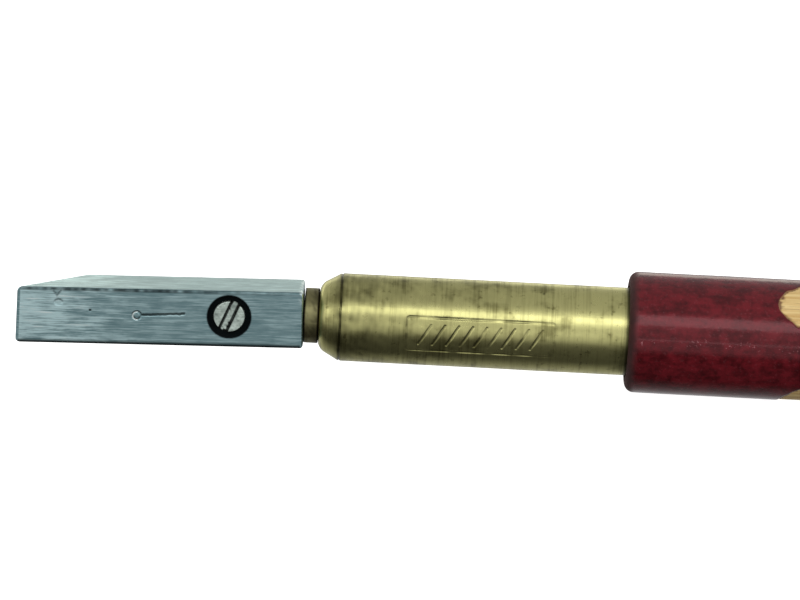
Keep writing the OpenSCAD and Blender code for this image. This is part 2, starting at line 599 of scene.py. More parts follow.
@dataclass(frozen=True, kw_only=True)
class TurnedBrass(Finish):
    """Brass or copper turned on a lathe, with rings round the X axis, dulled and spotted."""

    clean: Colour = (0.66, 0.635, 0.272)
    tarnish: Colour = (0.24, 0.225, 0.085)
    spots: float = 0.60
    roughness: float = 0.26
    rings: Grain = (2600.0, 90.0, 90.0)
    fine_rings: Grain = (9000.0, 200.0, 200.0)
    clouds: Grain = (330.0, 420.0, 420.0)
    specks: Grain = (1500.0, 1500.0, 1500.0)
    blackness: float = 0.12
    relief: float = 0.006 * MM

    def surface(self, g: Graph) -> Wire:
        """Adds the shader, which reads the mark for grime and painted shade.

        Args:
            g: the material's graph.

        Returns:
            The shader.
        """
        ring = g.noise(self.rings, rough=0.7)
        fine = g.noise(self.fine_rings, detail=2.0)
        cloud = g.noise(self.clouds, detail=4.0)
        speck = g.noise(self.specks, detail=2.0)
        dull = cloud.mapped(0.42, 0.72) * self.spots + speck.mapped(0.62, 0.72) * 0.35
        dull = dull + ring.mapped(0.42, 0.68) * 0.34
        colour = g.mix(dull.mapped(), self.clean, self.tarnish)
        # Near-black for dirt in the stamp and dents, and for painted shade in the groove, the crevices and
        # the joints.
        black = tuple(self.blackness * c for c in self.tarnish)
        colour = g.mix(g.mark("grime_and_shade"), colour, black)
        roughness = self.roughness + cloud * 0.12 + ring * 0.10
        return g.metal(colour, roughness, g.bump(ring * 0.6 + fine * 0.25 + speck * 0.15, self.relief))


@dataclass(frozen=True, kw_only=True)
class TurnedSteel(Finish):
    """Bright or dark steel hardware, with fine turning marks, a little grime and painted shade."""

    bright: Colour = (0.72, 0.84, 0.76)
    dull: Colour = (0.34, 0.41, 0.37)
    dirt_and_shade: Colour = (0.012, 0.013, 0.012)
    roughness: float = 0.24
    clouds: Grain = (1400.0, 1400.0, 1400.0)
    hairs: Grain = (900.0, 900.0, 9000.0)
    relief: float = 0.006 * MM

    def surface(self, g: Graph) -> Wire:
        """Adds the shader, which reads the mark for grime and painted shade.

        Args:
            g: the material's graph.

        Returns:
            The shader.
        """
        cloud = g.noise(self.clouds, detail=4.0)
        hair = g.noise(self.hairs, detail=2.0)
        colour = g.mix((cloud * 0.7 + hair * 0.3).mapped(0.35, 0.7), self.bright, self.dull)
        # Darkens the screw with dirt packed in its slot and with painted shade at the slot's edges, its rim
        # and its wall.
        colour = g.mix(g.mark("grime_and_shade"), colour, self.dirt_and_shade)
        roughness = self.roughness + cloud * 0.22
        return g.metal(colour, roughness, g.bump(hair * 0.6 + cloud * 0.4, self.relief))


@dataclass(frozen=True, kw_only=True)
class Solder(Finish):
    """Soft solder: grey, lumpy and half dull."""

    name: str = "soft_solder"
    light: Colour = (0.62, 0.62, 0.60)
    dark: Colour = (0.30, 0.30, 0.29)
    lumps: Grain = (2400.0, 2400.0, 2400.0)
    relief: float = 0.03 * MM

    def surface(self, g: Graph) -> Wire:
        """Adds the shader.

        Args:
            g: the material's graph.

        Returns:
            The shader.
        """
        lump = g.noise(self.lumps, detail=4.0)
        colour = g.mix(lump.mapped(0.35, 0.7), self.light, self.dark)
        return g.metal(colour, 0.30 + lump * 0.25, g.bump(lump, self.relief))


@dataclass(frozen=True, kw_only=True)
class RoughDiamond(Finish):
    """A small rough stone: clear, faintly yellow, with a frosted skin."""

    name: str = "rough_diamond"
    tint: Colour = (0.93, 0.93, 0.84)
    index: float = 2.417
    clearness: float = 0.85
    frosting: Grain = (5200.0, 5200.0, 5200.0)
    relief: float = 0.01 * MM

    def surface(self, g: Graph) -> Wire:
        """Adds the shader.

        Args:
            g: the material's graph.

        Returns:
            The shader.
        """
        frost = g.noise(self.frosting)
        return g.shader(
            Base_Color=self.tint,
            Roughness=frost.mapped(0.35, 0.7, 0.03, 0.22),
            IOR=self.index,
            Transmission_Weight=self.clearness,
            Normal=g.bump(frost, self.relief),
        )


@dataclass(frozen=True, kw_only=True)
class ChippedLacquer(Finish):
    """Deep red lacquer over wood.

    The mark chip bares the wood, rim is the chip's broken edge, and the scuff line carries painted glints.
    """

    name: str = "chipped_red_lacquer"
    deep: Colour = (0.056, 0.0030, 0.005)
    glow: Colour = (0.160, 0.009, 0.015)
    # Pale pink of dust nibs, and of the glints painted along the scuff line.
    speck: Colour = (0.50, 0.20, 0.22)
    sheen: Colour = (1.0, 0.42, 0.46)
    dirt_and_shade: Colour = (0.030, 0.022, 0.020)
    dark_wood: Colour = (0.70, 0.44, 0.15)
    light_wood: Colour = (0.95, 0.71, 0.32)
    rim: Colour = (0.16, 0.055, 0.022)
    clouds: Grain = (620.0, 620.0, 620.0)
    brush_marks: Grain = (500.0, 1700.0, 1700.0)
    orange_peel: Grain = (1500.0, 1500.0, 1500.0)
    dust: Grain = (3300.0, 3300.0, 3300.0)
    wood_grain: Grain = (110.0, 2300.0, 2300.0)
    wood_pores: Grain = (420.0, 6000.0, 6000.0)
    lacquer_index: float = 1.52
    lacquer_relief: float = 0.034 * MM
    wood_relief: float = 0.02 * MM

    def lacquer(self, g: Graph) -> Wire:
        """Adds the lacquer's shader: mottled red under a thin coat, with dust, brush marks and painted
        glints in it.

        Args:
            g: the material's graph.

        Returns:
            The shader.
        """
        cloud = g.noise(self.clouds, detail=5.0, rough=0.65)
        brush = g.noise(self.brush_marks)
        peel = g.noise(self.orange_peel)
        nibs = g.noise(self.dust, detail=1.0).mapped(0.60, 0.72)
        scuff_and_glint, grime_and_shade = g.mark("scuff_and_glint"), g.mark("grime_and_shade")
        tone = (cloud * 0.5 + brush * 0.25 + peel * 0.25).mapped(0.38, 0.62)
        colour = g.mix(tone, self.deep, self.glow)
        # Pale specks along the scuff line are painted glints of the low strip light.
        colour = g.mix(nibs * (0.05 + scuff_and_glint * 0.7), colour, self.speck)
        # Painted shade darkens the lacquer at the barrel's mouth and inside the socket.
        colour = g.mix(grime_and_shade, colour, self.dirt_and_shade)
        height = peel * 0.46 + nibs * (0.16 + scuff_and_glint * 1.0) + brush * 0.16
        roughness = 0.20 + cloud * 0.14 + grime_and_shade * 0.5
        return g.shader(
            Base_Color=colour,
            Roughness=roughness.mapped(),
            IOR=self.lacquer_index,
            Specular_Tint=self.sheen,
            Coat_Weight=(1.0 - grime_and_shade).mapped(0.0, 1.0, 0.0, 0.2),
            Coat_Roughness=0.10,
            Normal=g.bump(height, self.lacquer_relief),
        )

    def wood(self, g: Graph) -> Wire:
        """Adds the bare wood's shader: pale, with grain along the handle.

        Args:
            g: the material's graph.

        Returns:
            The shader.
        """
        grain = g.noise(self.wood_grain, detail=4.0)
        pores = g.noise(self.wood_pores, detail=2.0)
        colour = g.mix(grain.mapped(0.34, 0.68), self.light_wood, self.dark_wood)
        colour = g.mix(pores.mapped(0.60, 0.72) * 0.5, colour, self.rim)
        colour = g.mix(g.mark("rim"), colour, self.rim)
        normal = g.bump(grain * 0.5 + pores * 0.5, self.wood_relief)
        return g.shader(Base_Color=colour, Roughness=0.62, Normal=normal)

    def surface(self, g: Graph) -> Wire:
        """Blends lacquer and bare wood by the mark chip."""
        return g.blend(g.mark("chip"), self.lacquer(g), self.wood(g))


@dataclass(frozen=True, kw_only=True)
class WhitePaper(Finish):
    """The floor's pale sheet, which glows so that it stays evenly white."""

    name: str = "white_paper"
    shade: Colour = (0.93, 0.93, 0.93)
    light: Colour = (0.96, 0.96, 0.96)
    white: Colour = (1.0, 1.0, 1.0)
    fibres: Grain = (700.0, 700.0, 700.0)

    def surface(self, g: Graph) -> Wire:
        """Adds the shader.

        Args:
            g: the material's graph.

        Returns:
            The shader.
        """
        colour = g.mix(g.noise(self.fibres).mapped(0.3, 0.7), self.shade, self.light)
        return g.shader(Base_Color=colour, Roughness=0.9, Emission_Color=self.white, Emission_Strength=1.0)


# ---------------------------------------------------------------------------------------------------
# The head
# ---------------------------------------------------------------------------------------------------


@dataclass
class Head:
    """The square steel head, with its oblique end, its marks and the counterbore for the screw.

    Its own frame has x along the head from its rear end, and leans on the tool's axis. A place on the
    marked side is (x, z) in that frame.
    """

    rear: float
    screw_x: float
    screw_z: float
    side: float = 6.0 * MM
    length: float = 29.9 * MM
    run: float = 6.9 * MM
    lean: float = math.radians(1.65)
    rise: float = 0.12 * MM
    edge: float = 0.24 * MM
    out_of_square: float = 0.04
    tip_edge: float = 0.05 * MM
    end_edge: float = 0.34 * MM
    rear_edge: float = 0.32 * MM
    bore_r: float = 2.27 * MM
    bore_depth: float = 0.55 * MM
    stone_from_tip: float = 4.3 * MM
    notch_half: float = 0.70 * MM
    notch_tall: float = 0.88 * MM
    dimple_from_notch: Pair = (0.16 * MM, 1.42 * MM)
    dimple_half: Pair = (0.58 * MM, 0.42 * MM)
    pit: Pair = (-22.17 * MM, 0.60 * MM)
    line_from: Pair = (-16.70 * MM, 0.20 * MM)
    line_to: Pair = (-12.40 * MM, 0.42 * MM)
    punch: Pair = (-17.30 * MM, 0.16 * MM)
    punch_r: float = 0.42 * MM
    bright_from: float = -13.0 * MM
    bright_to: float = -29.5 * MM
    worn_depth: float = 0.004 * MM
    nick_depth: float = 0.05 * MM
    stations: int = 500
    face_points: int = 92
    back_points: int = 14

    def outline(self) -> tuple[Array, Array, Array]:
        """The rounded square section, going round from the bottom of the marked side.

        Returns:
            The y and z of each point on a square of the head's side, and how squarely each point
            faces the marked side, from 0 to 1.
        """
        flat = self.side / 2 - self.edge
        bend = np.linspace(0.0, QUARTER, 9)[1:-1]
        sides, facing = [], []
        for quarter, count in enumerate([self.face_points] + 3 * [self.back_points]):
            turn = quarter * QUARTER
            c, s = math.cos(turn), math.sin(turn)
            run = np.linspace(-flat, flat, count)
            u = np.concatenate([np.full(count, -self.side / 2), -flat - self.edge * np.cos(bend)])
            v = np.concatenate([run, flat + self.edge * np.sin(bend)])
            sides.append(np.stack([u * c + v * s, -u * s + v * c]))
            lean = np.concatenate([np.zeros(count), bend]) + turn
            facing.append(np.maximum(np.cos(lean), 0.0))
        y, z = np.concatenate(sides, axis=1)
        return y, z, np.concatenate(facing)

    def end(self, y: Array, z: Array) -> Array:
        """Where the oblique end lies along the head: a plane from the near tip back to the far edge.

        The plane is a little out of square, so its foot reaches further than its top.

        Args:
            y: how far back each point is.
            z: height of each point.

        Returns:
            The place along the head of each point of the end.
        """
        return -self.length + (y + self.side / 2) * self.run / self.side + self.out_of_square * z

    def rows(self) -> tuple[Array, Array, Array, Array]:
        """How the section is carried along the head, from the oblique end's middle to the rear's.

        A row's point is (share * end(y, z) + shift, width * y, height * z).

        Returns:
            The width, height, share and shift of each row.
        """
        half = self.side / 2
        bend = np.linspace(0.0, QUARTER, 8)[:-1]
        cap = np.linspace(0.0, 1.0, 7)[:-1]
        t = np.linspace(0.0, 1.0, self.stations)
        sizes = []
        for edge in (self.tip_edge, self.end_edge):
            front = 1.0 - edge * (1.0 - np.sin(bend)) / half
            rear = 1.0 - self.rear_edge * (1.0 - np.sin(bend[::-1])) / half
            whole = [cap * front[0], front, np.ones_like(t), rear, cap[::-1] * rear[-1]]
            sizes.append(np.concatenate(whole))
        ends = np.ones(len(cap) + len(bend))
        share = np.concatenate([ends, 1.0 - t, 0.0 * ends])
        shift = np.concatenate([
            np.zeros_like(cap),
            self.end_edge * (1.0 - np.cos(bend)),
            self.end_edge * (1.0 - t) - self.rear_edge * t,
            -self.rear_edge * (1.0 - np.cos(bend[::-1])),
            np.zeros_like(cap),
        ])
        return *sizes, share, shift

    def placed(self, x: Array, y: Array, z: Array) -> Array:
        """Moves points from the head's own frame to the tool's, by a turn about Y.

        Args:
            x: place along the head of each point.
            y: how far back each point is.
            z: height of each point.

        Returns:
            The points in the tool's frame.
        """
        c, s = math.cos(self.lean), math.sin(self.lean)
        return np.stack([self.rear + x * c - z * s, y, self.rise + x * s + z * c], axis=-1)

    def seat(self) -> Pair:
        """The screw's centre in the head's own frame.

        Returns:
            The centre, as (x, z).
        """
        dx, dz = self.screw_x - self.rear, self.screw_z - self.rise
        c, s = math.cos(self.lean), math.sin(self.lean)
        return dx * c + dz * s, dz * c - dx * s

    def marks(self, x: Array, z: Array) -> tuple[Array, Array, Array]:
        """What is cut into the marked side: a stone mark, a dimple, a pit and an index mark.

        Each mark is a smooth step of a distance: from a V's edges, an oval, a dot, a stroke or a ring.

        Args:
            x: place along the head of each point.
            z: height of each point.

        Returns:
            The depth, the grime and the raised bright burr at each point.
        """
        notch_x = self.stone_from_tip - self.length
        down = (self.side / 2 - z) / self.notch_tall
        inside = self.notch_half * (1.0 - down) - np.abs(x - notch_x)
        notch = smoothstep(-0.03 * MM, 0.05 * MM, inside)
        notch_rim = smoothstep(0.20 * MM, 0.05 * MM, np.abs(inside)) * (down < 1.15)
        dimple_u = (x - notch_x - self.dimple_from_notch[0]) / self.dimple_half[0]
        dimple_v = (z - self.dimple_from_notch[1]) / self.dimple_half[1]
        dimple = smoothstep(1.0, 0.55, np.hypot(dimple_u, dimple_v))
        pit = smoothstep(0.15 * MM, 0.06 * MM, np.hypot(x - self.pit[0], z - self.pit[1]))
        wobble = 0.02 * MM * ripple(x, 5, 2.0 * MM, 0.5 * MM)
        line = smoothstep(0.16 * MM, 0.06 * MM, capsule(x, z + wobble, self.line_from, self.line_to))
        ring = np.abs(np.hypot(x - self.punch[0], z - self.punch[1]) - self.punch_r)
        punch = smoothstep(0.13 * MM, 0.05 * MM, ring)
        depth = MM * (0.10 * notch + 0.035 * dimple + 0.08 * pit + 0.07 * line + 0.05 * punch)
        grime_and_shade = 0.55 * notch_rim + 0.20 * notch + 0.9 * pit + 0.75 * line + 0.12 * punch
        burr = 0.8 * punch * (x < self.punch[0] + 0.1 * MM)
        return depth, np.clip(grime_and_shade, 0.0, 1.0), burr

    def edge_shade(self, x: Array, z: Array) -> Array:
        """Painted shade along the long edges of the marked side: broken at the top, unbroken below.

        Args:
            x: place along the head of each point.
            z: height of each point.

        Returns:
            The painted shade at each point, from 0 to 1.
        """
        broken = np.clip(0.85 + 0.22 * ripple(x, 7, 7.0 * MM, 0.8 * MM), 0.0, 1.0)
        along = 0.42 + 0.43 * smoothstep(-3.0 * MM, -15.0 * MM, x)
        top = smoothstep(0.42 * MM, 0.24 * MM, self.side / 2 - z) * broken * along
        low = smoothstep(0.56 * MM, 0.16 * MM, self.side / 2 + z) * 0.95
        return np.maximum(top, low)

    def rubbed_corner(self, x: Array, y: Array, z: Array) -> Array:
        """The patch rubbed bright at the top of the rear end.

        Args:
            x: place along the head of each point.
            y: how far back each point is.
            z: height of each point.

        Returns:
            How bright each point is rubbed, from 0 to 1.
        """
        patch = smoothstep(-0.75 * MM, -0.15 * MM, x) * smoothstep(1.2 * MM, 2.4 * MM, z)
        return patch * np.clip(0.5 + 0.5 * mottle(y, z + x, 13, 1.6 * MM, 0.3 * MM), 0.0, 1.0)

    def build(self, finish: bpy.types.Material) -> bpy.types.Object:
        """Builds the head as one section carried along it, then cuts its marks and leans it.

        Points of the marked side near the counterbore's rim are drawn onto it, and those within are
        sunk to its floor.

        Args:
            finish: its material.

        Returns:
            The piece.
        """
        y0, z0, facing = self.outline()
        width, height, share, shift = (row[:, None] for row in self.rows())
        y, z = width * y0, height * z0
        x = share * self.end(y, z) + shift
        full = width == 1.0
        front = np.broadcast_to(facing, x.shape) * full

        seat_x, seat_z = self.seat()
        away = np.hypot(x - seat_x, z - seat_z)
        flat = front > 0.999
        snap = flat & (np.abs(away - self.bore_r) < 0.045 * MM)
        pull = np.where(snap, self.bore_r / np.maximum(away, 0.01 * MM), 1.0)
        x = seat_x + (x - seat_x) * pull
        z = seat_z + (z - seat_z) * pull
        away = np.where(snap, self.bore_r, away)
        bore = flat & (away < self.bore_r - 0.001 * MM)

        depth, grime_and_shade, burr = self.marks(x, z)
        worn = self.worn_depth * (mottle(x, z, 3, 14.0 * MM, 3.0 * MM) + 1.5)
        nick = np.clip(ripple(x, 11, 3.0 * MM, 0.25 * MM) - 0.9, 0.0, 1.0)
        corner = (front > 0.05) & (front < 0.95)
        depth = (depth + worn + np.where(corner, self.nick_depth * nick, 0.0)) * front
        back = np.clip(y / (self.side / 2), 0.0, 1.0) * full
        y = y + np.where(bore, self.bore_depth, depth) - worn * back

        # The counterbore's floor and rim are painted dark: grime, and painted shade in the recess.
        grime_and_shade = np.where(bore | snap, 1.0, grime_and_shade * front)
        rim = smoothstep(0.16 * MM, 0.0, np.abs(away - self.bore_r)) * flat
        # Painted shade along the marked side's long edges, where the rounded edges face dark surroundings.
        edges = self.edge_shade(x, z) * smoothstep(0.15, 0.75, front)
        grime_and_shade = np.maximum(np.maximum(grime_and_shade, 0.8 * rim), edges)
        wear = smoothstep(self.bright_from, self.bright_to, x) ** 1.3
        cut = np.broadcast_to(share == 1.0, x.shape).astype(float)
        burr = burr * front + 0.7 * self.rubbed_corner(x, y, z)
        marks = {"wear": wear * (1.0 - cut), "grime_and_shade": grime_and_shade, "burr": burr, "cut": cut}
        faces = grid_faces(*x.shape, around=True)
        piece = make_piece("steel_head", self.placed(x, y, z), faces, marks)
        return dress(piece, Body.HEAD, Slot.HEAD, finish, "head_block")


@dataclass
class Stone:
    """The copper stud in the oblique face, its solder and the diamond in it.

    Their own frame has z out of the oblique face at the stone.
    """

    head: Head
    stud_r: float = 1.6 * MM
    depth: float = 3.2 * MM
    rise: float = 0.45 * MM
    nose: float = 0.30 * MM
    chamfer: float = 0.10 * MM
    grip_r: float = 0.75 * MM
    seat_r: float = 0.62 * MM
    fillet: float = 0.44 * MM
    fillet_top: float = 0.31 * MM
    fillet_foot: float = -0.12 * MM
    stone_w: float = 1.3 * MM
    stone_power: float = 1.12

    def placed(self, points: Array) -> Array:
        """Moves points from the stone's frame to the tool's.

        The oblique face's outward normal is the head's -x axis turned back by the face's angle.

        Args:
            points: coordinates in the stone's frame, as ... by 3.

        Returns:
            Coordinates in the tool's frame.
        """
        head = self.head
        angle = math.atan2(head.side, head.run)
        c, s = math.cos(angle), math.sin(angle)
        centre_x = head.stone_from_tip - head.length
        centre_y = head.stone_from_tip * math.tan(angle) - head.side / 2
        across, up, out = np.moveaxis(points, -1, 0)
        return head.placed(centre_x + across * c - out * s, centre_y + across * s + out * c, up)

    def build_stud(self, finish: bpy.types.Material) -> bpy.types.Object:
        """Builds the stud: a bar with a filed, rounded nose that closes in on the stone.

        Its outline of (radius, height) points is turned about the stone's z axis.

        Args:
            finish: its material.

        Returns:
            The piece.
        """
        r, rise, depth = self.stud_r, self.rise, self.depth
        bend = np.linspace(0.0, QUARTER, 9)
        nose_r = r - self.nose * (1.0 - np.cos(bend))
        nose_z = rise - 0.25 * MM + 0.22 * MM * np.sin(bend)
        floor = rise - 0.03 * MM
        radius = np.concatenate([[0.0, r - self.chamfer, r, r], nose_r, [self.grip_r, self.seat_r, 0.0]])
        height = np.concatenate([[-depth, -depth, self.chamfer - depth, 0.0], nose_z, [rise, floor, floor]])
        angles = full_circle(96)
        dents = 0.02 * MM * ripple(angles * r, 21, 5.0 * MM, 0.8 * MM)
        reach = radius[:, None] + dents * (radius > 0.5 * MM)[:, None]
        level = np.broadcast_to(height[:, None], reach.shape)
        points = np.stack([reach * np.cos(angles), reach * np.sin(angles), level], axis=-1)
        piece = make_piece("copper_stud", self.placed(points), grid_faces(*reach.shape, around=True))
        return dress(piece, Body.HEAD, Slot.STUD, finish, "stone_stud")

    def build_solder(self, finish: bpy.types.Material) -> bpy.types.Object:
        """Builds the solder: a hollow fillet round the stud, uneven where it ran.

        Its face is a quarter of an ellipse from the stud down to the spread of its foot.

        Args:
            finish: its material.

        Returns:
            The piece.
        """
        angles = full_circle(120)
        spread = self.fillet + 0.07 * MM * ripple(angles * self.stud_r, 31, 5.0 * MM, 0.7 * MM)
        t = np.linspace(0.0, QUARTER, 12)[:, None]
        face_r = self.stud_r + spread * (1.0 - np.sin(t))
        face_z = self.fillet_top - 0.24 * MM * np.cos(t) + 0.0 * face_r
        inner_r = np.full((1, len(angles)), self.stud_r - 0.04 * MM)
        inner_z = np.full_like(inner_r, self.fillet_top - 0.02 * MM)
        foot_z = np.full_like(inner_r, self.fillet_foot)
        radius = np.concatenate([face_r[:1], face_r, inner_r, inner_r, face_r[:1]])
        height = np.concatenate([foot_z, face_z, inner_z, foot_z, foot_z])
        points = np.stack([radius * np.cos(angles), radius * np.sin(angles), height], axis=-1)
        piece = make_piece("solder_fillet", self.placed(points), grid_faces(*radius.shape, around=True))
        return dress(piece, Body.HEAD, Slot.SOLDER, finish, "stone_solder")

    def build_diamond(self, finish: bpy.types.Material) -> bpy.types.Object:
        """Builds the stone: an octahedron with slightly swelled faces and blunted corners.

        A direction (a, b, c) is scaled until |a|^p + |b|^p + |c|^p is 1, with p a little over 1.

        Args:
            finish: its material.

        Returns:
            The piece.
        """
        rows, count, power = 25, 48, self.stone_power
        tilt = np.linspace(-QUARTER, QUARTER, rows)[:, None]
        turn = full_circle(count)[None, :]
        level = np.broadcast_to(np.sin(tilt), (rows, count))
        way = np.stack([np.cos(tilt) * np.cos(turn), np.cos(tilt) * np.sin(turn), level], axis=-1)
        reach = (np.abs(way) ** power).sum(axis=-1, keepdims=True) ** (-1.0 / power)
        points = way * reach * self.stone_w / 2 * np.array([1.0, 1.0, 0.97])
        points[..., 2] += self.rise - self.stone_w / 4
        piece = make_piece("diamond_stone", self.placed(points), grid_faces(rows, count, around=True))
        return dress(piece, Body.HEAD, Slot.STONE, finish, "diamond")


@dataclass
class ClampScrew:
    """The slotted screw, flush in the head's counterbore.

    Its own frame has u along the slot, v across it and the third axis into the head.
    """

    x: float
    z: float
    face: float
    foot: float
    radius: float = 1.67 * MM
    slot_w: float = 1.02 * MM
    slot_depth: float = 0.42 * MM
    slot_turn: float = math.radians(22.5)
    bevel: float = 0.10 * MM
    lip: float = 0.03 * MM
    foot_share: float = 0.93

    def across(self) -> Array:
        """The places of the rows across the slot, close together at its lips.

        Returns:
            The places, from one side to the other.
        """
        half, lip = self.slot_w / 2, self.lip
        side = self.radius * np.sin(np.linspace(0.0, QUARTER, 26))
        floor = np.linspace(0.0, half - 2 * lip, 10)
        v = np.concatenate([floor, [half - lip, half, half + lip], side[side > half + 2 * lip]])
        return np.concatenate([-v[:0:-1], v])

    def top(self) -> tuple[Array, Array]:
        """The head's upper face as chords across the slot, with the slot and the bevel sunk in it.

        A point is (s * sqrt(r^2 - v^2), v), with s from -1 to 1 along the chord at v.

        Returns:
            The points in the screw's frame, and the grime and painted shade at each.
        """
        r, half, lip = self.radius, self.slot_w / 2, self.lip
        s = np.sin(np.linspace(-QUARTER, QUARTER, 61))[:, None]
        v = self.across() + 0.0 * s
        u = s * np.sqrt(np.maximum(r * r - v * v, 0.0))
        out = np.hypot(u, v)
        cut = smoothstep(half + 0.2 * lip, half - 1.2 * lip, np.abs(v))
        drop = self.bevel * smoothstep(r - self.bevel, r, out) ** 1.5
        rough = 0.004 * MM * mottle(u, v, 41, 1.5 * MM, 0.3 * MM)
        level = np.maximum(self.slot_depth * cut, drop) + rough
        # Painted shade of the slot's walls, as dark lines along its edges.
        lips = smoothstep(0.22 * MM, 0.11 * MM, np.abs(np.abs(v) - half + 0.10 * MM))
        packed = np.clip(mottle(u, v, 43, 1.4 * MM, 0.35 * MM) - 0.55, 0.0, 1.0) * cut
        # A dark ring round the edge: grime, and painted shade of the gap in the counterbore.
        rim = smoothstep(r - 0.12 * MM, r, out)
        return np.stack([u, v, level], axis=-1), np.clip(0.95 * lips + packed + 0.7 * rim, 0.0, 1.0)

    def build(self, finish: bpy.types.Material) -> bpy.types.Object:
        """Builds the screw: its slotted top, and a wall from the top's rim down to the foot.

        Args:
            finish: its material.

        Returns:
            The piece.
        """
        top, grime_and_shade = self.top()
        rows, columns = grime_and_shade.shape
        first = np.arange(columns)
        rim = top.reshape(-1, 3)[np.concatenate([first, (rows - 1) * columns + first[::-1]])]
        length = abs(self.foot - self.face)
        neck, chamfer = self.slot_depth + 0.1 * MM, length - 0.1 * MM
        shell = [rim]
        for depth, share in ((neck, 1.0), (chamfer, 1.0), (length, self.foot_share), (length, 0.0)):
            shell.append(np.column_stack([rim[:, :2] * share, np.full(len(rim), depth)]))
        wall = np.concatenate(shell)
        top_faces = grid_faces(rows, columns, around=False)
        wall_faces = grid_faces(len(shell), len(rim), around=True) + rows * columns

        u, v, deep = np.concatenate([top.reshape(-1, 3), wall]).T
        c, s = math.cos(self.slot_turn), math.sin(self.slot_turn)
        points = np.stack([self.x + u * s - v * c, self.face + deep, self.z + u * c + v * s], axis=-1)
        # The wall inside the counterbore is painted dark as shade.
        marks = {"grime_and_shade": np.concatenate([grime_and_shade.ravel(), np.full(len(wall), 0.8)])}
        piece = make_piece("slotted_screw", points, np.concatenate([top_faces, wall_faces]), marks)
        return dress(piece, Body.SCREW, Slot.SCREW, finish, "clamp_screw")


# ---------------------------------------------------------------------------------------------------
# The spindle, the barrel and the handle
# ---------------------------------------------------------------------------------------------------


@dataclass
class Spindle:
    """The brass spindle: a shank in the head, the neck, and a journal in the barrel's nose."""

    front: float
    rear: float
    neck_front: float
    neck_rear: float
    shank_r: float = 1.5 * MM
    neck_r: float = 2.88 * MM
    journal_r: float = 2.3 * MM
    thread_r: float = 1.7 * MM
    journal_length: float = 5.6 * MM
    edge: float = 0.09 * MM
    dent_depth: float = 0.02 * MM

    def outline(self) -> Array:
        """The outline from the shank's front to the thread's rear.

        Returns:
            The outline, as (station, radius) rows.
        """
        front, rear, edge = self.neck_front, self.neck_rear, self.edge
        corner = self.neck_r - edge
        journal_end = rear + self.journal_length
        shank = [[self.front, 0.0], [self.front, self.shank_r], [front, self.shank_r], [front, corner]]
        neck = np.linspace(front + 2 * edge, rear - 2 * edge, 24)
        journal = [[rear, self.journal_r], [journal_end, self.journal_r]]
        thread = [[journal_end, self.thread_r], [self.rear, self.thread_r], [self.rear, 0.0]]
        return np.concatenate([
            shank,
            arc((front + edge, corner), edge, 0.0, 90.0, 6),
            np.column_stack([neck, np.full(len(neck), self.neck_r)]),
            arc((rear - edge, corner), edge, 90.0, 180.0, 6),
            journal,
            thread,
        ])

    def build(self, finish: bpy.types.Material) -> bpy.types.Object:
        """Turns the spindle's outline about the axis, with a dented neck.

        Args:
            finish: its material.

        Returns:
            The piece.
        """
        outline = self.outline()
        angles = full_circle(160)
        x, radius = outline[:, :1], outline[:, 1:]
        front, long = self.neck_front, self.neck_rear - self.neck_front
        on_neck = (x > front) & (x < self.neck_rear) & (radius > self.journal_r)
        dents = mottle(x + 0.0 * angles, angles * self.neck_r, 51, 3.0 * MM, 0.5 * MM)
        dents = np.clip(dents, 0.0, 1.0)
        radius = radius - on_neck * self.dent_depth * dents
        # Darker over the neck's rear half; at both ends, painted shade in the gaps to the head and to the
        # barrel's nose.
        grime_and_shade = 0.30 * smoothstep(front + 0.35 * long, front + 0.75 * long, x)
        grime_and_shade = grime_and_shade + smoothstep(front + 0.25 * MM, front, x)
        grime_and_shade = grime_and_shade + smoothstep(self.neck_rear - 0.2 * MM, self.neck_rear, x)
        grime_and_shade = np.clip(grime_and_shade + 0.25 * dents, 0.0, 0.9)
        points = revolve(x, radius, angles)
        faces = grid_faces(*radius.shape, around=True)
        piece = make_piece("brass_spindle", points, faces, {"grime_and_shade": grime_and_shade})
        return dress(piece, Body.HEAD, Slot.SPINDLE, finish, "spindle")


